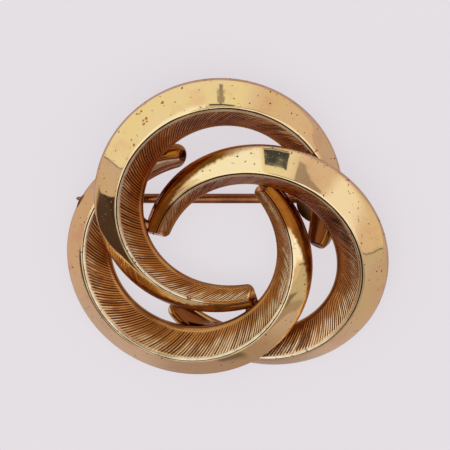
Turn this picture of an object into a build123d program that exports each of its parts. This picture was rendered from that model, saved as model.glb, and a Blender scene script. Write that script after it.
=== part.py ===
from build123d import *
import os
from math import atan2, cos, degrees, radians, sin, tan

os.makedirs("parts", exist_ok=True)

# A swirl brooch of three crescent rings, each a hollow stamping, that pass over and
# under each other and are soldered together. A pin with a hinge and a plain catch
# sits on the back. All lengths are in millimetres, angles in degrees.

# One crescent ring. Its widths, height and place follow the circle of its bead
crest_radius = 12.45      # the bead runs round on this circle
outer_width = 0.237 * crest_radius   # polished face, from the bead out to the rim
inner_width = 0.257 * crest_radius   # grooved wall, from the bead in to the rim
crest_height = 0.257 * crest_radius  # top of the bead above the foot
wall = 0.65               # metal left beside the hollow of the back
roof = 0.8                # metal left over the hollow, under the bead
bead_width = 0.55
bead_rise = 0.12
rim_height = 0.38         # plain edge round the foot
face_bulge = 0.1          # how far the polished face swells
end_slope = 40.0          # lean of the end faces
end_trim = 0.05           # taken off each end of the lofted wall
tail_corner = 0.0924 * crest_radius
head_corner = 0.0602 * crest_radius

# A row for each section of a ring, from its tail to its head: bearing round the ring's
# own centre, then shares of outer_width, inner_width and crest_height
SECTIONS = [
    (-28.5, 0.38, 0.45, 0.29),
    (-10, 0.47, 0.64, 0.44),
    (15, 0.61, 0.80, 0.66),
    (45, 0.78, 0.84, 0.84),
    (75, 0.92, 0.90, 0.94),
    (105, 0.98, 0.97, 0.98),
    (135, 1.00, 1.00, 1.00),
    (165, 0.98, 0.98, 1.00),
    (195, 0.92, 0.87, 0.94),
    (225, 0.82, 0.72, 0.77),
    (250, 0.67, 0.59, 0.62),
    (270, 0.56, 0.54, 0.50),
    (287, 0.50, 0.44, 0.45),
]
TAIL_ROW = SECTIONS[0]
HEAD_ROW = SECTIONS[-1]
HOLLOW_ROWS = SECTIONS[1:-1]
CROSSING_ROW = SECTIONS[8]

# The three rings together
ring_count = 3
ring_offset = 0.3743 * crest_radius   # from the brooch's centre to each ring's own centre
first_azimuth = 89.5
ring_lean = 5.6           # each ring lies tilted, over one neighbour and under the other
lean_azimuth = 107.0      # side that is lifted, from the ring's own azimuth
RING_SHIFTS = [(0, 0), (0.05, 0.19), (0.14, -0.15)]   # each ring's hand placing, off its true place

# Solder: at each head, and under each ring where it crosses over the next
head_solder = 0.7
head_solder_bearing = 285.0
head_solder_height = 0.55
crossing_solder = 0.5
crossing_bearing = 186.0
crossing_height = -0.15

# Pin, hinge and catch
hinge_x, hinge_y = 0.8916 * crest_radius, 0.3357 * crest_radius
catch_x, catch_y = -1.2369 * crest_radius, 0.2956 * crest_radius
pin_radius = 0.58
pin_past_catch = 2.5
point_length = 7.5
point_radius = 0.2
plate = 0.5
plate_bite = 0.25         # how far a plate goes into the rims that it is soldered to
hinge_plate_radius = 0.2008 * crest_radius
catch_plate_radius = 0.1767 * crest_radius
catch_plate_offset = -0.0562 * crest_radius
pin_drop = 1.15           # from a plate down to the pin's axis
eye_radius = 0.95
eye_width = 1.16
ear = 0.55
ear_radius = 1.1
ear_gap = 0.06            # beside the eye, each side
rivet_radius = 0.4
rivet_play = 0.05         # round the rivet, in the eye
rivet_seat = 0.02         # round the rivet, in the ears
rivet_head_radius = 0.72
rivet_head = 0.28
rivet_head_gap = 0.02
rivet_head_taper = 25.0
hook_thickness = 0.5
hook_width = 1.7
hook_lip = 0.35           # how far the hook reaches past the pin's axis


def outwards(bearing):
    """Level direction at a bearing."""
    return Vector(cos(radians(bearing)), sin(radians(bearing)), 0)


def widths(row):
    """Outer width, inner width and height of a section."""
    return outer_width * row[1], inner_width * row[2], crest_height * row[3]


def section_plane(bearing):
    """Upright plane across a ring: x outwards from the bead, y up."""
    out = outwards(bearing)
    return Plane(origin=out * crest_radius, x_dir=out, z_dir=(out.Y, -out.X, 0))


def draw_shell(outer, inner, top):
    """Outline of a ring's outside, with its plain edges, swelled face, bead and wall."""
    half_bead = bead_width / 2
    shoulder = top - bead_rise
    slope = atan2(shoulder - rim_height, outer - half_bead)
    middle = Vector((outer + half_bead) / 2, (rim_height + shoulder) / 2)
    Polyline((outer, rim_height), (outer, 0), (-inner, 0), (-inner, rim_height), (-half_bead, shoulder))
    ThreePointArc((-half_bead, shoulder), (0, top), (half_bead, shoulder))
    swell = middle + Vector(sin(slope), cos(slope)) * face_bulge
    ThreePointArc((half_bead, shoulder), swell, (outer, rim_height))


def draw_hollow(outer, inner, top):
    """Outline of the hollow, open a little below the foot."""
    Polyline((outer - wall, -plate_bite), (0, top - roof), (wall - inner, -plate_bite), close=True)


def finish_end(row, way, corner):
    """Rounds an end's corners in plan, and slopes its face back from the foot's edge."""
    outer, inner, top = widths(row)
    width = outer + inner + 2 * end_trim
    out = outwards(row[0])
    middle = out * (crest_radius + (outer - inner) / 2)
    along = Vector(-out.Y, out.X) * way
    with BuildSketch(Plane(origin=middle, x_dir=along)) as past:
        with Locations((width - corner - end_trim, 0)):
            Rectangle(2 * width, 4 * width)
        with Locations((-width - end_trim, 0)):
            RectangleRounded(2 * width, width, corner, mode=Mode.SUBTRACT)
    extrude(past.sketch, amount=crest_height, both=True, mode=Mode.SUBTRACT)
    back = (crest_height - rim_height) * tan(radians(end_slope))
    with BuildSketch(Plane(origin=middle, x_dir=along, z_dir=out * way)) as slope:
        with BuildLine():
            Polyline(
                (-end_trim, rim_height),
                (width, rim_height),
                (width, crest_height),
                (-back, crest_height),
                close=True,
            )
        make_face()
    extrude(slope.sketch, amount=width, both=True, mode=Mode.SUBTRACT)


def ring_place(index):
    """Where a ring lies: tilted about its own centre, then turned round the brooch."""
    lift = first_azimuth + lean_azimuth
    lean = Rot(0, 0, lift) * Rot(0, -ring_lean, 0) * Rot(0, 0, -lift)
    turn = Rot(0, 0, index * 360 / ring_count)
    return Pos(*RING_SHIFTS[index], 0) * turn * Pos(outwards(first_azimuth) * ring_offset) * lean


def on_ring(index, radius, bearing, height):
    """A place on a ring, from its own centre and foot."""
    return ring_place(index) * Pos(outwards(bearing) * radius + Vector(0, 0, height))


def foot_level(index, x, y):
    """Height of a ring's foot at a point of the brooch."""
    foot = Plane(ring_place(index))
    across = Vector(x, y, 0) - foot.origin
    return -(foot.z_dir.X * across.X + foot.z_dir.Y * across.Y) / foot.z_dir.Z


# The pin's line runs from the hinge to the catch, level, at the height of the pin's axis
pin_level = foot_level(0, hinge_x, hinge_y) + plate_bite - plate - pin_drop
pin_span = Vector(hinge_x - catch_x, hinge_y - catch_y, 0)
pin_line = pin_span.normalized()
pin_length = pin_span.length + pin_past_catch
hinge = Plane(origin=(hinge_x, hinge_y, pin_level), x_dir=pin_line)
catch = Plane(origin=(catch_x, catch_y, pin_level), x_dir=pin_line)
hinge_side = Plane(origin=hinge.origin, x_dir=pin_line, z_dir=-hinge.y_dir)
catch_end = Plane(origin=catch.origin, x_dir=catch.y_dir, z_dir=pin_line)
ear_start = eye_width / 2 + ear_gap
leg = pin_drop + plate / 2

with BuildPart() as ring:
    for row in SECTIONS:
        with BuildSketch(section_plane(row[0])):
            with BuildLine():
                draw_shell(*widths(row))
            make_face()
    loft()
    for row in HOLLOW_ROWS:
        with BuildSketch(section_plane(row[0])):
            with BuildLine():
                draw_hollow(*widths(row))
            make_face()
    loft(mode=Mode.SUBTRACT)
    finish_end(TAIL_ROW, -1, tail_corner)
    finish_end(HEAD_ROW, 1, head_corner)

with BuildPart() as hinge_bracket:
    with BuildSketch(hinge.offset(pin_drop)):
        Circle(hinge_plate_radius)
    extrude(amount=plate)
    for way in (-1, 1):
        with BuildSketch(hinge_side.offset(way * ear_start)):
            Circle(ear_radius)
            with Locations((0, leg / 2)):
                Rectangle(2 * ear_radius, leg)
            Circle(rivet_radius + rivet_seat, mode=Mode.SUBTRACT)
        extrude(amount=way * ear)

with BuildPart() as catch_bracket:
    with BuildSketch(catch.offset(pin_drop)):
        with Locations((0, catch_plate_offset)):
            Circle(catch_plate_radius)
    extrude(amount=plate)
    with BuildSketch(catch_end):
        Circle(ear_radius)
        Circle(ear_radius - hook_thickness, mode=Mode.SUBTRACT)
        with Locations((0, ear_radius)):
            Rectangle(4 * ear_radius, 2 * ear_radius, mode=Mode.SUBTRACT)
        with Locations((-hook_lip - ear_radius, -ear_radius)):
            Rectangle(2 * ear_radius, 2 * ear_radius, mode=Mode.SUBTRACT)
        with Locations((ear_radius - hook_thickness / 2, leg / 2)):
            Rectangle(hook_thickness, leg)
    extrude(amount=hook_width / 2, both=True)

with BuildPart() as swirl:
    head_radius = crest_radius + widths(HEAD_ROW)[0] / 2
    foot_radius = crest_radius + widths(CROSSING_ROW)[0] - wall / 2
    for index in range(ring_count):
        with Locations(ring_place(index)):
            add(ring.part)
        with Locations(on_ring(index, head_radius, head_solder_bearing, head_solder_height)):
            Sphere(head_solder, rotation=(90, 0, 0))
        with Locations(on_ring(index, foot_radius, crossing_bearing, crossing_height)):
            Sphere(crossing_solder)
    add(hinge_bracket.part)
    add(catch_bracket.part)

with BuildPart() as pin_stem:
    with BuildSketch(hinge_side):
        Circle(eye_radius)
    extrude(amount=eye_width / 2, both=True)
    with BuildSketch(hinge_side):
        with BuildLine():
            Polyline(
                (0, 0),
                (0, pin_radius),
                (point_length - pin_length, pin_radius),
                (point_radius - pin_length, point_radius),
                (-pin_length, 0),
                close=True,
            )
        make_face()
    revolve(axis=Axis(hinge.origin, pin_line))
    with BuildSketch(hinge_side):
        Circle(rivet_radius + rivet_play)
    extrude(amount=eye_width, both=True, mode=Mode.SUBTRACT)

with BuildPart() as hinge_rivet:
    reach = ear_start + ear + rivet_head_gap
    with BuildSketch(hinge_side):
        Circle(rivet_radius)
    extrude(amount=reach, both=True)
    for way in (-1, 1):
        with BuildSketch(hinge_side.offset(way * reach)):
            Circle(rivet_head_radius)
        extrude(amount=way * rivet_head, taper=rivet_head_taper)


def lowest(piece, lean):
    """Lowest point of a piece when the brooch leans back by an angle."""
    return (Rot(lean, 0, 0) * piece).bounding_box().min.Z


# The brooch lies on its hinge, its catch and the low rim of the ring across from them.
# The lean settles in a few steps, and the origin is under the middle of its box.
low_ring = ring.part.moved(ring_place(ring_count - 1))
rest_lean = 0.0
for _ in range(5):
    gap = lowest(low_ring, rest_lean) - lowest(hinge_bracket.part, rest_lean)
    rest_lean += degrees(atan2(gap, hinge_y + ring_offset + crest_radius))
leaning = Rot(rest_lean, 0, 0)
box = (leaning * Compound([swirl.part, pin_stem.part, hinge_rivet.part])).bounding_box()
at_rest = Pos(-box.center().X, -box.center().Y, -box.min.Z) * leaning

for name, piece in (("swirl", swirl), ("pin_stem", pin_stem), ("hinge_rivet", hinge_rivet)):
    piece.part.move(at_rest)
    piece.part.label = name
    export_step(piece.part, "parts/%s.step" % name)

# Where the pin turns, for the record
print("hinge", (at_rest * Pos(hinge.origin)).position)
print("hinge axis", (leaning * Pos(-hinge.y_dir)).position)
print("lean", rest_lean, "moved by", at_rest.position)
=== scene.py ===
from math import atan2, cos, degrees, exp, floor, hypot, pi, radians, sin, sqrt, tan

import bmesh
import bpy
import numpy as np
from mathutils import Matrix, Vector, noise


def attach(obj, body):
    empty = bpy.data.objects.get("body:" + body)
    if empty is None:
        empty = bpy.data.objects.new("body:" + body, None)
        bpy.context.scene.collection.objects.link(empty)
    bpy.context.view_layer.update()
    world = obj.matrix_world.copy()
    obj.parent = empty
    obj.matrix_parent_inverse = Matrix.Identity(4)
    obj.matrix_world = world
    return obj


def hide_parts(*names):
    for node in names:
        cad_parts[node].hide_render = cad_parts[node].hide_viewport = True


# Looks for a swirl brooch of three crescent rings. Lengths are in millimetres and
# angles in degrees, and each finished mesh is brought to metres.
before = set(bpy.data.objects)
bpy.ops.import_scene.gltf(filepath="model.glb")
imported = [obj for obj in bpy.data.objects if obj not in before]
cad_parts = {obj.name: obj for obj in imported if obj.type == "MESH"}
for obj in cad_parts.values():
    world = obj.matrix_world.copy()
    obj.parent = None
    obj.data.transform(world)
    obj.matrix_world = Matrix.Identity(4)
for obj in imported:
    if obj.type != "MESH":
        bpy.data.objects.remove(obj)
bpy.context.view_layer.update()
MM = 0.001

# One crescent ring, as in the solid
crest_radius = 12.45      # the bead runs round on this circle
outer_width = 0.237 * crest_radius
inner_width = 0.257 * crest_radius
crest_height = 0.257 * crest_radius
wall = 0.65
roof = 0.8
rim_height = 0.38
end_slope = 40.0          # lean of the end faces
tail_corner = 0.0924 * crest_radius
head_corner = 0.0602 * crest_radius

# Bearing round the ring, then shares of outer_width, inner_width and crest_height
SECTIONS = [
    (-28.5, 0.38, 0.45, 0.29),
    (-10, 0.47, 0.64, 0.44),
    (15, 0.61, 0.80, 0.66),
    (45, 0.78, 0.84, 0.84),
    (75, 0.92, 0.90, 0.94),
    (105, 0.98, 0.97, 0.98),
    (135, 1.00, 1.00, 1.00),
    (165, 0.98, 0.98, 1.00),
    (195, 0.92, 0.87, 0.94),
    (225, 0.82, 0.72, 0.77),
    (250, 0.67, 0.59, 0.62),
    (270, 0.56, 0.54, 0.50),
    (287, 0.50, 0.44, 0.45),
]
curve_degree = 7          # of the smooth curve through each column
tail_bearing = SECTIONS[0][0]
head_bearing = SECTIONS[-1][0]

# The three rings together, and how the brooch leans on its hinge, catch and low rim
ring_names = ("ring_upper", "ring_left", "ring_right")
ring_offset = 0.3743 * crest_radius   # from the brooch's centre to each ring's own centre
first_azimuth = 89.5
ring_lean = 5.6           # each ring lies tilted, over one neighbour and under the other
lean_azimuth = 107.0      # side that is lifted, from the ring's own azimuth
RING_SHIFTS = [(0, 0), (0.05, 0.19), (0.14, -0.15)]     # of each ring from its even place
ring_turn = 120           # from one ring to the next
# As the part's source works them out and prints them
rest_lean = 6.145988
rest_shift = (-0.266046, -1.19177, 3.18604)

# Small forms that the solid leaves out
face_stop = 0.4           # the flat face stops this far outside the crest
face_stop_share = 0.3     # and no further than this share of the ring's width
brow_width = 0.25         # rounded brow between the flat face and the crease
brow_rise = 0.1
crease_width = 0.09       # between the brow and the bead
crease_depth = 0.06
bead_width = 0.35         # the bead is a plain band that falls inwards from a crisp edge
bead_rise = 0.08
bead_lean = 0.04          # its crisp edge leans in by this much
bead_least = 0.1          # share of its rise that is left where it has died out
bead_fade = 7.0           # it dies out this far from the tail
bead_head_fade = 0.8      # and this far from the head
shoulder_drop = 0.17      # from the crest down to the end of the flat face
lip_width = 0.14          # rubbed lip round the foot
lip_drop = 0.12           # it starts this far below the rim
lip_share = 0.4           # and takes no more than this share of the way to the face
least_span = 0.05         # least width from the rim in to the end of the face
crest_margin = 0.38       # the crest keeps this share of the width from either side
foot_share = 0.4          # the flat foot is no wider than this share of the width
edge_roll = 0.009         # the flat face rolls over at its edges, as a share of its width
tail_bulge = 0.16         # and is rounded all over towards each end, as shares of its width
head_bulge = 0.24
wall_bulge = 0.14         # the wall is rounded too, near the tail
tail_bulge_reach = 11.0   # how far from an end they gain that
head_bulge_reach = 15.0
tail_rise = 0.45          # the tail's ridge stands higher at its tip
tail_reach = 5.0
hollow_fade = 2.2         # the hollow dies out this far from each end
end_blend = 0.12          # the slanting cut of each end meets the other forms in a curve
end_blend_reach = 0.3     # which tightens this near the end
least_blend = 0.001       # and is never tighter than this
tiny = 1e-6               # keeps a line of no length from dividing by zero

# The engraved grooves
groove_pitch = 1.93       # in degrees of bearing
groove_depth = 0.075
groove_unevenness = 0.2   # how far a groove's own depth strays, as a share
groove_drift = 0.12       # in grooves
drift_around = 0.12       # how fast the drift changes round the ring and down the wall
drift_down = 1.4
groove_fade = 0.45        # a groove is this much shallower at its inner end
shade_kept = 0.8          # share of that loss that its darkness makes up for
groove_slant = 12.4       # how far round the ring a groove runs on its way in
slant_fade = 25.0         # the strips straighten this near the tail
groove_start = -0.01      # shares of the wall where a groove starts and ends, how far each
groove_end = 1.02         # groove strays from them, and how soon it gains and loses its depth
start_stagger = 0.02
end_stagger = 0.03
groove_rise = 0.06
groove_fall = 0.07
drift_seed = 3
depth_seed = (7, 1)
wear_seed = (5, 2)
smooth_tail = 4.0         # no grooves this near the tail
groove_deepening = 2.5    # and they gain their depth over this length after it
border_share = 0.13       # plain border below the grooves, as a share of the wall
border_rise = 0.06        # raised edge where the grooves stop short of an end
border_width = 0.16
border_fade = 0.1         # share of the wall over which that edge rises from the bead
groove_stop = 0.1         # the grooves end this far below the slanting cut of an end
groove_stop_length = 0.3  # and have their full depth this much lower
steps_per_groove = 6
end_steps = 12
weld_distance = 0.0005    # points nearer than this are one
ring_sharp = 40.0         # edges that turn by more than this stay crisp

# Marks that the ring's points carry for its finishes: painted shade in a groove or a crease, a tint
# near the ends (partly from soldering, partly painted reflection), and a ridge's wear and painted
# highlight
MARKS = ("shade", "heat_and_reflection_tint", "wear_and_glint")
brow_shade = 0.7          # how dark the brow is where it meets the crease
# The tint near each end is partly from soldering and partly painted reflection of the neighbouring walls
tail_tint_reach = 7.0     # the tint at a tail ends here
tail_tint_fade = 3.0      # and is full this much nearer to its tip
TAIL_TINTS = [(0.85, 1.0), (1.0, 0.4), (0.35, 1.0)]    # of the face and the wall, ring by ring
head_tint = 4.0           # the tint at the soldered head narrows from here on
head_tint_curve = 1.2     # more than one makes it narrow faster at first
head_tint_start = 3.0     # how fast its far point gains colour
head_tint_soft = 0.15     # softness and raggedness of its edge, as shares of the face's width
head_tint_ragged = 0.09
ragged_around = 0.45      # how fast that edge changes round the ring and across the face
ragged_across = 5.0
HEAD_TINTS = [(19.0, 1.2), (15.0, 1.3), (18.0, 1.15)]   # its length, and its width in face widths
# Where each line that takes that tint lies, from the face's outer edge at 0 to its inner at 1
HEAD_LINES = {
    "outer_edge": 0, "outer_lip": 0, "face": None, "brow": 1, "crease": 1, "bead_edge": 1, "bead": 1,
}
glint_azimuth = 310.0      # the ridges of the grooved walls get their painted highlight most on this side of the brooch
wear_glint_reach = 0.14         # how far down the wall every ridge is brightened, by wear and painted highlight, as a share
glint_reach_lit = 0.28     # how much further on that side
wear_glint_reach_own = 0.4      # and how much further the most brightened ridge is
wear_glint_soft = 0.3           # it fades out over this share
wear_glint_least = 0.5          # how bright a brightened ridge is, and what the painted highlight on that side and its own wear add
glint_lit = 0.4
wear_glint_own = 0.35

# Solder, hinge and catch, as in the solid
web_length = 1.7
web_end = 0.95            # radius where it meets each ring
web_middle = 0.58
web_flat = 0.75           # it is lower than it is wide
web_steps = 10
web_reach = 1.13          # out from the crest's circle
web_bearing = 282.6
web_sides = 36
head_solder_height = 0.55
crossing_solder = 0.5
crossing_bearing = 186.0
crossing_foot_bearing = 195.0   # the section whose foot it sits on
crossing_height = -0.15
solder_unevenness = 0.12
solder_lumps = 2.2        # grains of the noise to the millimetre
ring_seed = 9             # each joint takes its lumps from another part of the noise
kind_seed = 5
hinge_x, hinge_y = 0.8916 * crest_radius, 0.3357 * crest_radius
catch_x, catch_y = -1.2369 * crest_radius, 0.2956 * crest_radius
plate = 0.5
plate_bite = 0.25
hinge_plate_radius = 0.2008 * crest_radius
catch_plate_radius = 0.1767 * crest_radius
catch_plate_offset = -0.0562 * crest_radius
pin_drop = 1.15
eye_width = 1.16
ear = 0.55
ear_radius = 1.1
ear_gap = 0.06
ear_straight = 0.01       # from this height over the rivet up, an ear is straight
hook_thickness = 0.5
hook_width = 1.7
hook_turn = 114.0
hook_steps = 14
plate_sides = 72
ear_sides = 48
hinge_softening = 0.06    # bevels of the crisp edges
catch_softening = 0.05
softening_steps = 3
softened_angle = 50.0     # edges that turn by more than this are bevelled
bracket_sharp = 30.0

# Lines of the section from the foot's outer edge over the bead and back: its name, how
# many strips it has, how far it swells outwards, and its slant at its start and end
LINES = [
    ("outer_edge", 2, 0.01, (0, 0)),
    ("outer_lip", 2, 0.02, (0, 0)),
    ("face", 12, 0, (0, 0)),
    ("brow", 4, 0.03, (0, 0)),
    ("crease", 2, 0, (0, 0)),
    ("bead_edge", 2, 0, (0, 0)),
    ("bead", 6, 0.04, (0, 0)),
    ("wall", 16, 0, (0, 1)),
    ("border", 4, 0.02, (1, 1)),
    ("inner_edge", 3, 0.02, (1, 1)),
    ("inner_foot", 2, 0, (1, 1)),
    ("inner_hollow", 5, -0.1, (1, 0)),
    ("outer_hollow", 5, -0.1, (0, 0)),
    ("outer_foot", 2, 0, (0, 0)),
]
# Lines that the slanting cut of each end cuts off
END_LINES = ("outer_lip", "face", "brow", "crease", "bead_edge", "bead", "wall", "border")
# The finish of each line
FINISHES = {
    "outer_edge": "rim", "outer_lip": "rim", "face": "polished", "brow": "polished",
    "crease": "polished", "bead_edge": "polished", "bead": "bead", "wall": "grooved",
    "border": "border", "inner_edge": "border", "inner_foot": "back", "inner_hollow": "back",
    "outer_hollow": "back", "outer_foot": "back",
}


def share_curve(column):
    """One smooth curve through a column of the section table."""
    rows = np.array(SECTIONS)
    return np.polynomial.Polynomial.fit(rows[:, 0], rows[:, column], curve_degree)


outer_share, inner_share, height_share = (share_curve(column) for column in (1, 2, 3))


def stations():
    """Bearings of the sections of a ring, closer together round the corners of its ends."""
    found = []
    for corner, end, way in ((tail_corner, tail_bearing, 1), (head_corner, head_bearing, -1)):
        turns = (pi / 2 * step / end_steps for step in range(end_steps))
        found.append([end + way * degrees(corner * (1 - cos(turn)) / crest_radius) for turn in turns])
    tail, head = found
    first = tail_bearing + degrees(tail_corner / crest_radius)
    last = head_bearing - degrees(head_corner / crest_radius)
    count = round((last - first) / groove_pitch * steps_per_groove)
    middle = [first + (last - first) * step / count for step in range(count + 1)]
    return tail + middle + head[::-1]


def eased(value):
    """A share held between 0 and 1, with soft ends."""
    share = min(max(value, 0), 1)
    return share * share * (3 - 2 * share)


def soft_least(a, b, blend):
    """The smaller of two heights, with a rounded change from one to the other."""
    gap = max(blend - abs(a - b), 0) / blend
    return min(a, b) - gap * gap * blend / 4


def corner_cut(corner, to_end):
    """How far a rounded corner draws in the edge of an end, at a distance from that end."""
    past = max(corner - to_end, 0)
    return corner - sqrt(max(corner * corner - past * past, 0))


class Section:
    """Corners of a ring's section at a bearing: x outwards from the crest's circle, y up."""

    def __init__(self, bearing):
        to_tail = radians(bearing - tail_bearing) * crest_radius
        to_head = radians(head_bearing - bearing) * crest_radius
        self.to_tail, self.to_head = to_tail, to_head
        self.to_end = max(min(to_tail, to_head), 0)
        cut = corner_cut(tail_corner, to_tail) + corner_cut(head_corner, to_head)
        self.right = outer_width * outer_share(bearing) - cut
        self.left = cut - inner_width * inner_share(bearing)
        self.near_tail = eased(1 - to_tail / tail_bulge_reach)
        self.near_head = eased(1 - to_head / head_bulge_reach)
        self.bulge = max(self.near_tail * tail_bulge, self.near_head * head_bulge)
        self.grooved = eased((to_tail - smooth_tail) / groove_deepening)
        self.beaded = eased(to_tail / bead_fade) * eased(to_head / bead_head_fade)
        raised = tail_rise * eased(1 - to_tail / tail_reach)
        self.top = crest_height * height_share(bearing) + raised
        self.limit = rim_height + self.to_end / tan(radians(end_slope))
        width = self.right - self.left
        margin = crest_margin * width
        self.middle = min(max(0, self.left + margin), self.right - margin)
        scale = min(face_stop_share * width / face_stop, 1)
        shoulder = self.top - shoulder_drop
        face_end = self.middle + face_stop * scale
        crease = face_end - brow_width * scale
        bead_edge = crease - crease_width * scale
        start = bead_edge - bead_width * scale
        brow = shoulder + brow_rise * scale * self.beaded
        brim = self.left + border_share * (start - self.left)
        foot = min(wall, foot_share * width)
        roof_top = max(self.top - roof, 0) * eased(self.to_end / hollow_fade)
        lift = bead_rise * scale * (bead_least + (1 - bead_least) * self.beaded)
        span = max(self.right - face_end, least_span)
        lip = min(lip_width, lip_share * span)
        slope = (shoulder - rim_height) / span
        self.corners = [
            (self.right, 0),
            (self.right, rim_height - lip_drop),
            (self.right - lip, rim_height + slope * lip),
            (face_end, shoulder),
            (crease, brow),
            (bead_edge, brow - crease_depth * self.beaded),
            (bead_edge - bead_lean, brow + lift),
            (start, shoulder),
            (brim, rim_height + border_share * (shoulder - rim_height)),
            (self.left, rim_height),
            (self.left, 0),
            (self.left + foot, 0),
            (self.middle, roof_top),
            (self.right - foot, 0),
            (self.right, 0),
        ]


def groove_at(bearing, share):
    """How deep the grooving is at a bearing and a share of the way down the wall, and the nearest
    ridge's own share of its wear and painted highlight."""
    wander = Vector((bearing * drift_around, share * drift_down, drift_seed))
    count = (bearing - groove_slant * share) / groove_pitch + noise.noise(wander) * groove_drift
    own = noise.cell(Vector((floor(count) + 0.5, *depth_seed)))
    cut = abs(sin(pi * count))
    rise = eased((share - groove_start - start_stagger * own) / groove_rise)
    fall = eased((groove_end - end_stagger * own - share) / groove_fall)
    uneven = 1 - groove_unevenness + groove_unevenness * own
    depth = groove_depth * uneven * cut * rise * fall * (1 - groove_fade * share)
    rubbed = 0.5 + 0.5 * noise.cell(Vector((floor(count + 0.5), *wear_seed)))
    return depth, rubbed


def crease_shade(name, share, beaded):
    """How dark the crease beside the bead is, on its own line and those next to it."""
    if name == "brow":
        return eased(2 * share - 1) * brow_shade * beaded
    if name == "crease":
        return (brow_shade + (1 - brow_shade) * share) * beaded
    if name == "bead_edge":
        return (1 - share) * beaded
    return 0


def heat_and_reflection_tint(index, name, bearing, share, section):
    """How much a point is tinted near the tail and near the head: partly by soldering, partly as a
    painted reflection of the neighbouring walls.
    """
    tail_face, tail_wall = TAIL_TINTS[index]
    at_tail = eased((tail_tint_reach - section.to_tail) / tail_tint_fade)
    if name == "face":
        heat_and_reflection = at_tail * tail_face
    elif name in ("wall", "border"):
        heat_and_reflection = at_tail * tail_wall
    else:
        heat_and_reflection = at_tail * max(tail_face, tail_wall)
    if name in HEAD_LINES:
        reach, cover = HEAD_TINTS[index]
        at_head = min(max((reach - section.to_head) / (reach - head_tint), 0), 1)
        ragged = noise.noise(Vector((bearing * ragged_around, share * ragged_across, index)))
        inwards = (share if name == "face" else HEAD_LINES[name]) + head_tint_ragged * ragged
        edge = eased((cover * at_head**head_tint_curve - inwards) / head_tint_soft + 0.5)
        heat_and_reflection += min(head_tint_start * at_head, 1) * edge
    return heat_and_reflection


def ridge_wear_and_glint(index, bearing, share, section, rubbed):
    """How bright a ridge is, by wear and a painted highlight: most by the bead, and on the lit side."""
    lit = 0.5 + 0.5 * cos(radians(bearing + ring_turn * index - glint_azimuth))
    lit = max(lit, section.near_head)
    reach = wear_glint_reach + glint_reach_lit * lit + wear_glint_reach_own * rubbed
    return eased((reach - share) / wear_glint_soft) * (wear_glint_least + glint_lit * lit + wear_glint_own * rubbed)


def ring_point(index, bearing, line, share):
    """A point of a ring about its own centre, on a line of the section, and its marks."""
    name, _, swell, (slant_start, slant_end) = LINES[line]
    slant = groove_slant * min((bearing - tail_bearing) / slant_fade, 1)
    turn = min(bearing + slant * (slant_start + (slant_end - slant_start) * share), head_bearing)
    section = Section(turn)
    (x0, y0), (x1, y1) = section.corners[line:line + 2]
    length = hypot(x1 - x0, y1 - y0) + tiny
    out_x, out_y = (y1 - y0) / length, (x0 - x1) / length
    if name == "face":
        swell = length * section.bulge
    elif name == "wall":
        swell = length * wall_bulge * section.near_tail
    lift = swell * 4 * share * (1 - share)
    if name == "face":
        lift += length * edge_roll * (1 - (2 * share - 1) ** 4)
    cut, wear_and_glint = 0, 0
    shade = crease_shade(name, share, section.beaded)
    heat_and_reflection = heat_and_reflection_tint(index, name, turn, share, section)
    y = y0 + (y1 - y0) * share
    over = section.limit - y
    if name == "wall":
        lift += border_rise * exp(-((over / border_width) ** 2)) * eased(share / border_fade)
        cut, rubbed = groove_at(turn, share)
        cut *= eased((over - groove_stop) / groove_stop_length) * section.grooved
        shade = cut / groove_depth / (1 - shade_kept * groove_fade * share)
        wear_and_glint = ridge_wear_and_glint(index, turn, share, section, rubbed)
    x = x0 + (x1 - x0) * share + out_x * (lift - cut)
    y += out_y * (lift - cut)
    if name in END_LINES:
        blend = end_blend * eased(section.to_end / end_blend_reach) + least_blend
        y = soft_least(y, section.limit, blend)
    radius = crest_radius + x
    return Vector((cos(radians(turn)) * radius, sin(radians(turn)) * radius, y)), (shade, heat_and_reflection, wear_and_glint)


def ring_place(index):
    """Where a ring lies: tilted about its own centre, then turned round the brooch."""
    lift = radians(first_azimuth + lean_azimuth)
    out = radians(first_azimuth)
    back = Matrix.Rotation(-lift, 4, "Z")
    lean = back.inverted() @ Matrix.Rotation(radians(-ring_lean), 4, "Y") @ back
    offset = Matrix.Translation((cos(out) * ring_offset, sin(out) * ring_offset, 0))
    turn = Matrix.Rotation(radians(index * ring_turn), 4, "Z")
    return Matrix.Translation((*RING_SHIFTS[index], 0)) @ turn @ offset @ lean


def foot_level(index, x, y):
    """Height of a ring's foot at a point of the brooch."""
    place = ring_place(index)
    up = place.col[2].to_3d()
    across = Vector((x, y, 0)) - place.translation
    return -(up.x * across.x + up.y * across.y) / up.z


at_rest = Matrix.Translation(rest_shift) @ Matrix.Rotation(radians(rest_lean), 4, "X")


def finish_piece(bm, name, materials, place=Matrix(), sharp=ring_sharp):
    """Makes a mesh a named piece in metres that rides on the brooch and stands for the swirl."""
    bmesh.ops.transform(bm, matrix=Matrix.Scale(MM, 4) @ at_rest @ place, verts=bm.verts)
    bmesh.ops.recalc_face_normals(bm, faces=bm.faces)
    for face in bm.faces:
        face.smooth = True
    mesh = bpy.data.meshes.new(name)
    bm.to_mesh(mesh)
    bm.free()
    mesh.set_sharp_from_angle(angle=radians(sharp))
    for material in materials:
        mesh.materials.append(material)
    piece = bpy.data.objects.new(name, mesh)
    bpy.context.scene.collection.objects.link(piece)
    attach(piece, "brooch")
    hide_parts("swirl")


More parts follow.
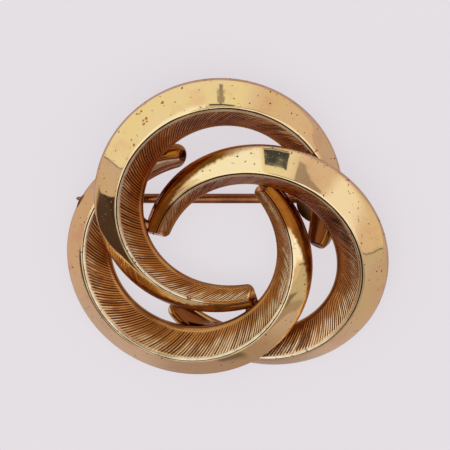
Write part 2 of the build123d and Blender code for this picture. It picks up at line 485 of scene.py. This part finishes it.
def make_ring(index, finishes):
    """A ring: a sheet of strips wrapped round the section and swept from tail to head."""
    bearings = stations()
    strips = [(line, step / row[1]) for line, row in enumerate(LINES) for step in range(row[1])]
    columns, rows = len(bearings) - 1, len(strips)
    bm = bmesh.new()
    bm.loops.layers.uv.new("along_and_across")
    layers = [bm.verts.layers.float.new(name) for name in MARKS]
    bmesh.ops.create_grid(bm, x_segments=columns, y_segments=rows, size=0.5, calc_uvs=True)
    kinds = list(finishes)
    for face in bm.faces:
        middle = face.calc_center_median()
        line, _ = strips[int((middle.y + 0.5) * rows)]
        to_tail = radians(bearings[int((middle.x + 0.5) * columns)] - tail_bearing) * crest_radius
        finish = FINISHES[LINES[line][0]]
        if finish in ("grooved", "bead") and to_tail < smooth_tail:
            finish = "tail"
        face.material_index = kinds.index(finish)
    for vert in bm.verts:
        column = round((vert.co.x + 0.5) * columns)
        line, share = strips[round((vert.co.y + 0.5) * rows) % rows]
        vert.co, marks = ring_point(index, bearings[column], line, share)
        for layer, mark in zip(layers, marks):
            vert[layer] = mark
    bmesh.ops.remove_doubles(bm, verts=bm.verts, dist=weld_distance)
    bmesh.ops.holes_fill(bm, edges=[edge for edge in bm.edges if edge.is_boundary], sides=0)
    finish_piece(bm, ring_names[index], finishes.values(), ring_place(index))


def round_plate(bm, radius, base, thick):
    """A round plate, from a height up."""
    made = bmesh.ops.create_circle(bm, cap_ends=True, segments=plate_sides, radius=radius)
    bmesh.ops.translate(bm, vec=(0, 0, base), verts=made["verts"])
    face = made["verts"][0].link_faces[0]
    top = bmesh.ops.extrude_face_region(bm, geom=[face])["geom"]
    raised = [item for item in top if isinstance(item, bmesh.types.BMVert)]
    bmesh.ops.translate(bm, vec=(0, 0, thick), verts=raised)
    return made["verts"] + raised


def soften(bm, verts, width):
    """Bevels the crisp edges among some vertices."""
    chosen = set(verts)
    edges = [edge for edge in bm.edges if edge.is_manifold and chosen.issuperset(edge.verts)]
    crisp = [edge for edge in edges if edge.calc_face_angle(0) > radians(softened_angle)]
    bmesh.ops.bevel(
        bm, geom=crisp, offset=width, segments=softening_steps, profile=0.5, affect="EDGES",
        material=-1, offset_type="OFFSET", clamp_overlap=True,
    )


def make_ear(bm, side):
    """An ear of the hinge: round below, straight up to the plate."""
    made = bmesh.ops.create_circle(bm, cap_ends=True, segments=ear_sides, radius=ear_radius)
    verts = made["verts"]
    bmesh.ops.rotate(bm, cent=(0, 0, 0), matrix=Matrix.Rotation(pi / 2, 3, "X"), verts=verts)
    for vert in verts:
        if vert.co.z > ear_straight:
            vert.co.z = pin_drop + plate / 2
        vert.co.y = side * (eye_width / 2 + ear_gap)
    face = verts[0].link_faces[0]
    made = bmesh.ops.extrude_face_region(bm, geom=[face])["geom"]
    outer = [item for item in made if isinstance(item, bmesh.types.BMVert)]
    bmesh.ops.translate(bm, vec=(0, side * ear, 0), verts=outer)
    return verts + outer


def make_hook(bm):
    """The catch's hook: a strip that comes down behind the pin and turns under it."""
    middle = ear_radius - hook_thickness / 2
    made = bmesh.ops.create_grid(bm, x_segments=1, y_segments=1, size=0.5)
    verts = made["verts"]
    bmesh.ops.scale(bm, vec=(hook_width, hook_thickness, 1), verts=verts)
    bmesh.ops.translate(bm, vec=(0, middle, pin_drop + plate / 2), verts=verts)
    down = bmesh.ops.extrude_face_region(bm, geom=[verts[0].link_faces[0]])["geom"]
    low = [item for item in down if isinstance(item, bmesh.types.BMVert)]
    bmesh.ops.translate(bm, vec=(0, 0, -pin_drop - plate / 2), verts=low)
    face = next(item for item in down if isinstance(item, bmesh.types.BMFace))
    bmesh.ops.spin(
        bm, geom=[face], cent=(0, 0, 0), axis=(-1, 0, 0), angle=radians(hook_turn), steps=hook_steps,
        use_merge=False, use_duplicate=False,
    )


def bracket_place(x, y):
    """A bracket's place: on the pin's line, with the pin's axis at its own origin."""
    level = foot_level(0, hinge_x, hinge_y) + plate_bite - plate - pin_drop
    turn = Matrix.Rotation(atan2(hinge_y - catch_y, hinge_x - catch_x), 4, "Z")
    return Matrix.Translation((x, y, level)) @ turn


def make_hinge(finish):
    """The hinge: a round plate under the rings with the two ears that hold the rivet."""
    bm = bmesh.new()
    parts = [round_plate(bm, hinge_plate_radius, pin_drop, plate)]
    parts += [make_ear(bm, side) for side in (-1, 1)]
    for part in parts:
        soften(bm, part, hinge_softening)
    finish_piece(bm, "hinge_bracket", [finish], bracket_place(hinge_x, hinge_y), bracket_sharp)


def make_catch(finish):
    """The catch: a round plate with the hook that holds the pin's point."""
    bm = bmesh.new()
    part = round_plate(bm, catch_plate_radius, pin_drop, plate)
    bmesh.ops.translate(bm, vec=(0, catch_plate_offset, 0), verts=part)
    make_hook(bm)
    soften(bm, bm.verts, catch_softening)
    finish_piece(bm, "catch_bracket", [finish], bracket_place(catch_x, catch_y), bracket_sharp)


def make_web(bm):
    """Solder drawn out between two rings, along x and waisted in the middle."""
    shares = [step / web_steps for step in range(web_steps + 1)]
    outline = [(share, web_end - (web_end - web_middle) * sin(pi * share)) for share in shares]
    closed = [(0, 0), *outline, (1, 0)]
    verts = [bm.verts.new((web_length * (share - 0.5), radius, 0)) for share, radius in closed]
    edges = [bm.edges.new(pair) for pair in zip(verts, verts[1:])]
    bmesh.ops.spin(
        bm, geom=verts + edges, cent=(0, 0, 0), axis=(1, 0, 0), angle=2 * pi, steps=web_sides,
        use_merge=True, use_duplicate=False,
    )
    bmesh.ops.remove_doubles(bm, verts=bm.verts, dist=weld_distance)


def make_drop(bm):
    """A round drop of solder."""
    bmesh.ops.create_icosphere(bm, subdivisions=4, radius=crossing_solder)


def make_solder(kind, make_form, radius, bearing, height, flat, finish):
    """One kind of solder joint, uneven and a little different on each of the three rings."""
    whole = bmesh.new()
    for index in range(len(ring_names)):
        bm = bmesh.new()
        make_form(bm)
        elsewhere = Vector((index * ring_seed, height * kind_seed, 0))
        for vert in bm.verts:
            lump = noise.noise(vert.co * solder_lumps + elsewhere)
            vert.co *= 1 + solder_unevenness * lump
        turn = Matrix.Rotation(radians(bearing), 4, "Z")
        spot = Matrix.Translation((radius, 0, height)) @ Matrix.Scale(flat, 4, (0, 0, 1))
        bmesh.ops.transform(bm, matrix=ring_place(index) @ turn @ spot, verts=bm.verts)
        joint = bpy.data.meshes.new("joint")
        bm.to_mesh(joint)
        bm.free()
        whole.from_mesh(joint)
        bpy.data.meshes.remove(joint)
    finish_piece(whole, kind, [finish])


# Colors of the metals, of what dulls them, and of painted shade, reflection and highlight
yellow_plate = (0.87, 0.59, 0.3)
pale_plate = (0.87, 0.6, 0.26)
rosy_plate = (0.84, 0.51, 0.26)
pinhole_brown = (0.2, 0.07, 0.03)
stain_brown = (0.42, 0.13, 0.04)
# Tint near the ends: partly from soldering, partly painted reflection
tint_orange = (0.29, 0.085, 0.01)
tint_brown = (0.15, 0.046, 0.006)
# Painted shade for the crease beside the bead
painted_crease_shade = (0.1, 0.06, 0.035)
ridge_amber = (0.66, 0.265, 0.07)
ridge_brown = (0.4, 0.135, 0.028)
# Painted highlight on the ridges, together with their wear
ridge_bright = (1.0, 0.67, 0.36)
# Painted shade down in the grooves
groove_dark = (0.1, 0.027, 0.007)
tail_pink = (0.74, 0.45, 0.3)
tail_brown = (0.56, 0.27, 0.14)
# Dark tint near a tail: partly from soldering, partly painted reflection
tail_dark_tint = (0.14, 0.036, 0.009)
nick_brown = (0.22, 0.08, 0.04)
# Tint near the ends on the rim and bead: partly from soldering, partly painted reflection
rubbed_tint = (0.4, 0.14, 0.03)
tail_roughness = 0.16

# Bumps of the surfaces, in metres; a negative one goes in
wave_height = 0.0001
ripple_height = 0.00001
pinhole_depth = -0.00002
groove_grain = 0.00002
dull_grain = 0.00003
nick_depth = -0.00004


def mix_colors(nodes, links, share, first, second):
    """A color between two others, each a color or a socket."""
    mix = nodes.new("ShaderNodeMix")
    mix.data_type = "RGBA"
    if isinstance(share, bpy.types.NodeSocket):
        links.new(share, mix.inputs["Factor"])
    else:
        mix.inputs["Factor"].default_value = share
    for name, color in (("A", first), ("B", second)):
        if isinstance(color, bpy.types.NodeSocket):
            links.new(color, mix.inputs[name])
        else:
            mix.inputs[name].default_value = (*color, 1)
    return mix.outputs["Result"]


def math_node(nodes, links, operation, *values):
    """A math node on numbers or sockets."""
    node = nodes.new("ShaderNodeMath")
    node.operation = operation
    for socket, value in zip(node.inputs, values):
        if isinstance(value, bpy.types.NodeSocket):
            links.new(value, socket)
        else:
            socket.default_value = value
    return node.outputs[0]


def range_node(nodes, links, value, low, high, to_low=0.0, to_high=1.0):
    """A value brought from one range to another, held at the ends."""
    node = nodes.new("ShaderNodeMapRange")
    links.new(value, node.inputs["Value"])
    node.inputs["From Min"].default_value = low
    node.inputs["From Max"].default_value = high
    node.inputs["To Min"].default_value = to_low
    node.inputs["To Max"].default_value = to_high
    return node.outputs["Result"]


def noise_node(nodes, links, scale, detail=3.0, rough=0.5):
    """Noise that stays with the piece; scale is in grains to the metre."""
    node = nodes.new("ShaderNodeTexNoise")
    links.new(nodes.new("ShaderNodeTexCoord").outputs["Object"], node.inputs["Vector"])
    node.inputs["Scale"].default_value = scale
    node.inputs["Detail"].default_value = detail
    node.inputs["Roughness"].default_value = rough
    return node.outputs["Fac"]


def bump_node(nodes, links, height, distance, strength, before=None):
    """Bump from a height; distance is in metres, and before is the bump that it goes on."""
    node = nodes.new("ShaderNodeBump")
    links.new(height, node.inputs["Height"])
    node.inputs["Distance"].default_value = distance
    node.inputs["Strength"].default_value = strength
    if before:
        links.new(before, node.inputs["Normal"])
    return node.outputs["Normal"]


def mark_node(nodes, name):
    """One of the marks that a ring's points carry: shade, heat_and_reflection_tint or worn."""
    mark = nodes.new("ShaderNodeAttribute")
    mark.attribute_name = name
    return mark.outputs["Fac"]


def metal(name):
    """A new metal: its nodes, links and shader."""
    material = bpy.data.materials.new(name)
    material.use_nodes = True
    tree = material.node_tree
    shader = tree.nodes["Principled BSDF"]
    shader.inputs["Metallic"].default_value = 1
    return material, tree.nodes, tree.links, shader


def spots_node(nodes, links, spots):
    """One at each of some spots, given by its place and width in millimetres."""
    place = nodes.new("ShaderNodeTexCoord").outputs["Object"]
    found = 0.0
    for *middle, width in spots:
        away = nodes.new("ShaderNodeVectorMath")
        away.operation = "DISTANCE"
        links.new(place, away.inputs[0])
        away.inputs[1].default_value = [part * MM for part in middle]
        grain = noise_node(nodes, links, 6000, 2)
        ragged = math_node(nodes, links, "MULTIPLY_ADD", grain, stain_ragged * MM, away.outputs["Value"])
        edges = [(width / 2 + past) * MM for past in stain_edge]
        spot = range_node(nodes, links, ragged, *edges)
        found = math_node(nodes, links, "MAXIMUM", found, spot)
    return found


def polished_gold():
    """Bright plate with faint waves, pinholes, stains and a redder bloom here and there, painted
    shade in the crease, and a tint near the ends that is partly painted reflection.
    """
    material, nodes, links, shader = metal("polished_gold")
    bloom = range_node(nodes, links, noise_node(nodes, links, 170), 0.42, 0.6)
    color = mix_colors(nodes, links, bloom, yellow_plate, pale_plate)
    rosy = range_node(nodes, links, noise_node(nodes, links, 330, 4, 0.6), 0.52, 0.68)
    color = mix_colors(nodes, links, rosy, color, rosy_plate)
    pits = range_node(nodes, links, noise_node(nodes, links, 2300, 2), 0.68, 0.715)
    color = mix_colors(nodes, links, pits, color, pinhole_brown)
    stains = spots_node(nodes, links, STAINS)
    color = mix_colors(nodes, links, stains, color, stain_brown)
    # Tint near the ends: partly from soldering, partly painted reflection of the neighbouring walls
    tint_tone = range_node(nodes, links, noise_node(nodes, links, 360, 4, 0.6), 0.4, 0.6)
    tint = mix_colors(nodes, links, tint_tone, tint_orange, tint_brown)
    color = mix_colors(nodes, links, mark_node(nodes, "heat_and_reflection_tint"), color, tint)
    uneven = noise_node(nodes, links, 300, 3, 0.6)
    # Painted shade: the crease beside the bead is darkened, more where the noise is high
    crease_darkening = math_node(nodes, links, "MULTIPLY_ADD", uneven, 0.9, mark_node(nodes, "shade"))
    crease_darkening = range_node(nodes, links, crease_darkening, 0.85, 1.15)
    color = mix_colors(nodes, links, crease_darkening, color, painted_crease_shade)
    links.new(color, shader.inputs["Base Color"])
    haze = noise_node(nodes, links, 700, 4, 0.6)
    links.new(range_node(nodes, links, haze, 0.35, 0.75, 0.03, 0.1), shader.inputs["Roughness"])
    waves = bump_node(nodes, links, noise_node(nodes, links, 220, 2), wave_height, 0.25)
    waves = bump_node(nodes, links, noise_node(nodes, links, 800, 2), ripple_height, 0.3, waves)
    links.new(bump_node(nodes, links, pits, pinhole_depth, 0.5, waves), shader.inputs["Normal"])
    return material


def grooved_gold():
    """Engraved wall: painted shade in the grooves; ridges near the bead get wear and a painted
    highlight.
    """
    material, nodes, links, shader = metal("grooved_gold")
    # The grooves are darkened by their depth: painted shade
    depth = range_node(nodes, links, mark_node(nodes, "shade"), 0.15, 0.8)
    tone = range_node(nodes, links, noise_node(nodes, links, 260, 4, 0.6), 0.35, 0.7)
    ridge = mix_colors(nodes, links, tone, ridge_amber, ridge_brown)
    patches = range_node(nodes, links, noise_node(nodes, links, 420, 3, 0.6), 0.38, 0.66, 0.4)
    # Ridges brightened by wear and by a painted highlight, most on the lit side and by the bead
    wear_and_glint = math_node(nodes, links, "MULTIPLY", mark_node(nodes, "wear_and_glint"), patches)
    ridge = mix_colors(nodes, links, wear_and_glint, ridge, ridge_bright)
    links.new(mix_colors(nodes, links, depth, ridge, groove_dark), shader.inputs["Base Color"])
    grain = noise_node(nodes, links, 5200, 2)
    links.new(range_node(nodes, links, grain, 0.3, 0.7, 0.1, 0.25), shader.inputs["Roughness"])
    links.new(bump_node(nodes, links, grain, groove_grain, 0.35), shader.inputs["Normal"])
    return material


def tail_gold():
    """The smooth wall of a tail: pinkish, darkened near the tip partly by soldering, partly as painted
    reflection.
    """
    material, nodes, links, shader = metal("tail_gold")
    tone = range_node(nodes, links, noise_node(nodes, links, 520, 4, 0.6), 0.35, 0.65)
    color = mix_colors(nodes, links, tone, tail_pink, tail_brown)
    # Tint near the tip: partly from soldering, partly painted reflection
    color = mix_colors(nodes, links, mark_node(nodes, "heat_and_reflection_tint"), color, tail_dark_tint)
    links.new(color, shader.inputs["Base Color"])
    shader.inputs["Roughness"].default_value = tail_roughness
    grain = noise_node(nodes, links, 1600, 3)
    links.new(bump_node(nodes, links, grain, dull_grain, 0.4), shader.inputs["Normal"])
    return material


def rubbed_gold(name, color, rubbed, roughness):
    """Narrow forms where the plate is rubbed to a paler tone, with small nicks."""
    material, nodes, links, shader = metal(name)
    share = range_node(nodes, links, noise_node(nodes, links, 420, 5, 0.65), 0.4, 0.62)
    color = mix_colors(nodes, links, share, color, rubbed)
    nicks = range_node(nodes, links, noise_node(nodes, links, 2100, 2), 0.64, 0.70)
    color = mix_colors(nodes, links, nicks, color, nick_brown)
    # Tint near the ends: partly from soldering, partly painted reflection
    color = mix_colors(nodes, links, mark_node(nodes, "heat_and_reflection_tint"), color, rubbed_tint)
    links.new(color, shader.inputs["Base Color"])
    shader.inputs["Roughness"].default_value = roughness
    links.new(bump_node(nodes, links, nicks, nick_depth, 0.6), shader.inputs["Normal"])
    return material


def dull_gold(name, color, dark, roughness):
    """Unpolished metal with a patchy tarnish."""
    material, nodes, links, shader = metal(name)
    patches = range_node(nodes, links, noise_node(nodes, links, 380, 5, 0.6), 0.38, 0.68)
    links.new(mix_colors(nodes, links, patches, color, dark), shader.inputs["Base Color"])
    shader.inputs["Roughness"].default_value = roughness
    grain = noise_node(nodes, links, 2600, 3)
    links.new(bump_node(nodes, links, grain, dull_grain, 0.4), shader.inputs["Normal"])
    return material


# Stained pits on the upper ring's face: x, y and z, and width
stain_ragged = 0.35       # how far their edge wanders
stain_edge = (0.2, 0.1)   # past half the width, where a stain ends and where it is full
STAINS = [
    (-6.98, 16.09, 6.64, 0.42),
    (-6.7, 15.75, 6.9, 0.2),
    (-9.49, 14.9, 6.38, 0.36),
    (-9.75, 14.6, 6.4, 0.26),
    (-8.82, 14.27, 7.14, 0.42),
    (-9.2, 14.0, 7.1, 0.34),
    (-9.05, 13.6, 7.35, 0.4),
    (-8.75, 13.95, 7.35, 0.3),
    (-7.6, 13.5, 7.9, 0.26),
    (-10.17, 11.24, 8.03, 0.4),
    (-11.6, 11.5, 6.9, 0.18),
    (-11.9, 10.9, 6.9, 0.2),
]

finishes = {
    "polished": polished_gold(),
    "grooved": grooved_gold(),
    "tail": tail_gold(),
    "rim": rubbed_gold("worn_rim", (0.68, 0.42, 0.22), (0.76, 0.49, 0.35), 0.27),
    "bead": rubbed_gold("worn_bead", (0.58, 0.41, 0.24), (0.74, 0.57, 0.38), 0.18),
    "border": dull_gold("border_gold", (0.46, 0.21, 0.07), (0.3, 0.11, 0.03), 0.2),
    "back": dull_gold("gold_back", (0.66, 0.45, 0.23), (0.42, 0.22, 0.1), 0.36),
}
solder_gold = dull_gold("solder_gold", (0.36, 0.17, 0.06), (0.16, 0.06, 0.02), 0.2)
# Near black, partly tarnish and partly painted shade: the brackets lie in the brooch's shadow underneath
bracket_metal = dull_gold("dark_bracket", (0.14, 0.06, 0.025), (0.06, 0.025, 0.01), 0.34)
pin_wire = dull_gold("rose_wire", (0.36, 0.13, 0.05), (0.19, 0.06, 0.02), 0.18)

for index in range(len(ring_names)):
    make_ring(index, finishes)
make_hinge(bracket_metal)
make_catch(bracket_metal)
make_solder(
    "head_solder", make_web, crest_radius + web_reach, web_bearing, head_solder_height, web_flat,
    solder_gold,
)
crossing_reach = outer_width * outer_share(crossing_foot_bearing) - wall / 2
make_solder(
    "crossing_solder", make_drop, crest_radius + crossing_reach, crossing_bearing, crossing_height, 1,
    solder_gold,
)
for name in ("pin_stem", "hinge_rivet"):
    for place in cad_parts[name].material_slots:
        place.material = pin_wire

# The camera, at the photograph's angle
camera_tilt = 23.56
camera_azimuth = 76.57
camera_distance = 379.4
camera_lens = 256
camera_clip = 0.01          # metres
photo_width = 450
photo_shift = (1.1, 12.2)   # pixels, from the middle of the photograph


def camera_place():
    """Where the camera stands: tilted back from straight above the leaning brooch."""
    tilt, azimuth = radians(camera_tilt), radians(camera_azimuth)
    towards = Vector((cos(azimuth), sin(azimuth), 0))
    across = Vector((-sin(azimuth), cos(azimuth), 0))
    level = Vector((0, 0, 1))
    back = towards * sin(tilt) + level * cos(tilt)
    flat = towards * cos(tilt) - level * sin(tilt)
    right = flat * cos(azimuth) - across * sin(azimuth)
    up = flat * sin(azimuth) + across * cos(azimuth)
    turn = Matrix((right, up, back)).transposed().to_4x4()
    place = at_rest @ Matrix.Translation(back * camera_distance) @ turn
    place.translation *= MM
    return place


camera_data = bpy.data.cameras.new("camera")
camera_data.lens = camera_lens
camera_data.shift_x, camera_data.shift_y = (pixels / photo_width for pixels in photo_shift)
camera_data.clip_start = camera_clip
camera = bpy.data.objects.new("camera", camera_data)
camera.matrix_world = camera_place()
bpy.context.scene.collection.objects.link(camera)
bpy.context.scene.camera = camera

# Light panels of the studio round the brooch: azimuth from and to, height from and to in
# degrees, softness of the edges, color. Each is laid over those before it.
PANELS = [
    (325, 555, -40, 120, 3, (0.77, 0.71, 0.68)),
    (66, 190, -40, 60, 20, (0.92, 1.0, 0.95)),
    (176.6, 200, -40, 40, 0.6, (0.66, 0.6, 0.62)),
    (0, 360, 52, 120, 8, (1.25, 1.4, 1.6)),
    (48, 108, 54, 82, 6, (0.3, 0.28, 0.3)),
    (36, 65, 34.3, 60, 1, (0.42, 0.39, 0.4)),
    (98, 170, 27, 60, 4, (1.05, 1.25, 1.55)),
    (342, 372, 22, 60, 5, (1.1, 1.3, 1.6)),
    (354, 393, 17, 60, 12, (1.0, 1.1, 1.25)),
    (290, 321, -40, 14, 6, (0.42, 0.37, 0.38)),
    (321, 341, -20, 22, 3, (0.6, 0.6, 0.6)),
    (195, 232, -40, 18, 0.6, (0.055, 0.042, 0.035)),
    (74.5, 95, 31, 38, 0.4, (0.06, 0.075, 0.1)),
    (75.5, 95.5, 26.6, 29.4, 0.4, (0.06, 0.07, 0.08)),
    (86, 88.4, 17, 26.8, 0.5, (0.3, 0.32, 0.36)),
    (84.5, 90, 21, 25, 0.8, (0.4, 0.4, 0.4)),
    (176.3, 176.9, -30, 45, 0.3, (0.12, 0.12, 0.12)),
    (339.7, 340.3, -30, 30, 0.3, (0.12, 0.12, 0.12)),
    (317, 325, 7, 26, 1.2, (0.25, 0.23, 0.24)),
]
dim_side = (0.46, 0.44, 0.44)       # the studio where there is no panel
backdrop = (0.79, 0.755, 0.785)     # what the camera sees past the floor
floor_glow = (0.65, 0.62, 0.655)    # light that the floor gives off
floor_tint = (0.16, 0.135, 0.12)    # its color under other light
floor_size = 1            # half its width, in metres
floor_roughness = 0.9
floor_gloss = 0.1
sector_fade = 4           # a sector gains its color over this many millimetres

# How bright the floor is in the metal's reflections, and sectors of it that differ: azimuth,
# half width, softness, distance in millimetres from which it counts, color
floor_mirrored = (0.57, 0.51, 0.56)
FLOOR_SECTORS = [
    (185, 22, 20, 0, (0.64, 0.54, 0.57)),
    (272, 26, 20, 0, (0.41, 0.33, 0.35)),
    (214, 22, 6, 31, (0.06, 0.035, 0.03)),
    (276, 5.5, 3, 28.3, (0.17, 0.15, 0.16)),
]


def band_mask(nodes, links, value, half, soft):
    """One within half of zero, falling to none over a soft edge."""
    node = nodes.new("ShaderNodeMapRange")
    node.interpolation_type = "SMOOTHSTEP"
    links.new(math_node(nodes, links, "ABSOLUTE", value), node.inputs["Value"])
    node.inputs["From Min"].default_value = radians(half - soft / 2)
    node.inputs["From Max"].default_value = radians(half + soft / 2)
    node.inputs["To Min"].default_value = 1
    node.inputs["To Max"].default_value = 0
    return node.outputs["Result"]


def turned_parts(nodes, links, direction, azimuth):
    """The X, Y and Z of a direction or a place, turned so that the azimuth lies along X."""
    turn = nodes.new("ShaderNodeVectorRotate")
    turn.rotation_type = "Z_AXIS"
    turn.inputs["Angle"].default_value = radians(-azimuth)
    links.new(direction, turn.inputs["Vector"])
    parts = nodes.new("ShaderNodeSeparateXYZ")
    links.new(turn.outputs[0], parts.inputs[0])
    return parts.outputs


def shade_floor(nodes, links, shader):
    """A lit floor, dimmer in the metal's reflections on the side away from the panels."""
    place = nodes.new("ShaderNodeTexCoord").outputs["Object"]
    mirrored = floor_mirrored
    for azimuth, half, soft, near, color in FLOOR_SECTORS:
        turned = turned_parts(nodes, links, place, azimuth)
        around = math_node(nodes, links, "ARCTAN2", turned["Y"], turned["X"])
        share = band_mask(nodes, links, around, half, soft)
        if near:
            away = range_node(nodes, links, turned["X"], near * MM, (near + sector_fade) * MM)
            share = math_node(nodes, links, "MULTIPLY", share, away)
        mirrored = mix_colors(nodes, links, share, mirrored, color)
    glossy = nodes.new("ShaderNodeLightPath").outputs["Is Glossy Ray"]
    links.new(mix_colors(nodes, links, glossy, floor_glow, mirrored), shader.inputs["Emission Color"])
    links.new(mix_colors(nodes, links, glossy, floor_tint, (0, 0, 0)), shader.inputs["Base Color"])


def make_floor():
    """A plain pale floor, which is stage and no part of the brooch."""
    bm = bmesh.new()
    bmesh.ops.create_grid(bm, x_segments=1, y_segments=1, size=floor_size)
    mesh = bpy.data.meshes.new("floor")
    bm.to_mesh(mesh)
    bm.free()
    ground = bpy.data.objects.new("floor", mesh)
    bpy.context.scene.collection.objects.link(ground)
    paint = bpy.data.materials.new("pale_floor")
    paint.use_nodes = True
    shader = paint.node_tree.nodes["Principled BSDF"]
    shader.inputs["Roughness"].default_value = floor_roughness
    shader.inputs["Specular IOR Level"].default_value = floor_gloss
    shader.inputs["Emission Strength"].default_value = 1
    shade_floor(paint.node_tree.nodes, paint.node_tree.links, shader)
    mesh.materials.append(paint)


def make_studio():
    """The world: panels by direction, and a plain backdrop where the camera looks past."""
    world = bpy.data.worlds.new("studio")
    world.use_nodes = True
    nodes, links = world.node_tree.nodes, world.node_tree.links
    background = nodes["Background"]
    direction = nodes.new("ShaderNodeTexCoord").outputs["Generated"]
    parts = nodes.new("ShaderNodeSeparateXYZ")
    links.new(direction, parts.inputs[0])
    height = math_node(nodes, links, "ARCSINE", parts.outputs["Z"])
    color = dim_side
    for start, end, low, high, soft, tint in PANELS:
        turned = turned_parts(nodes, links, direction, (start + end) / 2)
        around = math_node(nodes, links, "ARCTAN2", turned["Y"], turned["X"])
        rise = math_node(nodes, links, "SUBTRACT", height, radians((low + high) / 2))
        across = band_mask(nodes, links, around, (end - start) / 2, soft)
        upright = band_mask(nodes, links, rise, (high - low) / 2, soft)
        share = math_node(nodes, links, "MULTIPLY", across, upright)
        color = mix_colors(nodes, links, share, color, tint)
    seen = nodes.new("ShaderNodeLightPath").outputs["Is Camera Ray"]
    links.new(mix_colors(nodes, links, seen, color, backdrop), background.inputs["Color"])
    background.inputs["Strength"].default_value = 1
    bpy.context.scene.world = world


make_floor()
make_studio()
bpy.context.scene.view_settings.view_transform = "Standard"
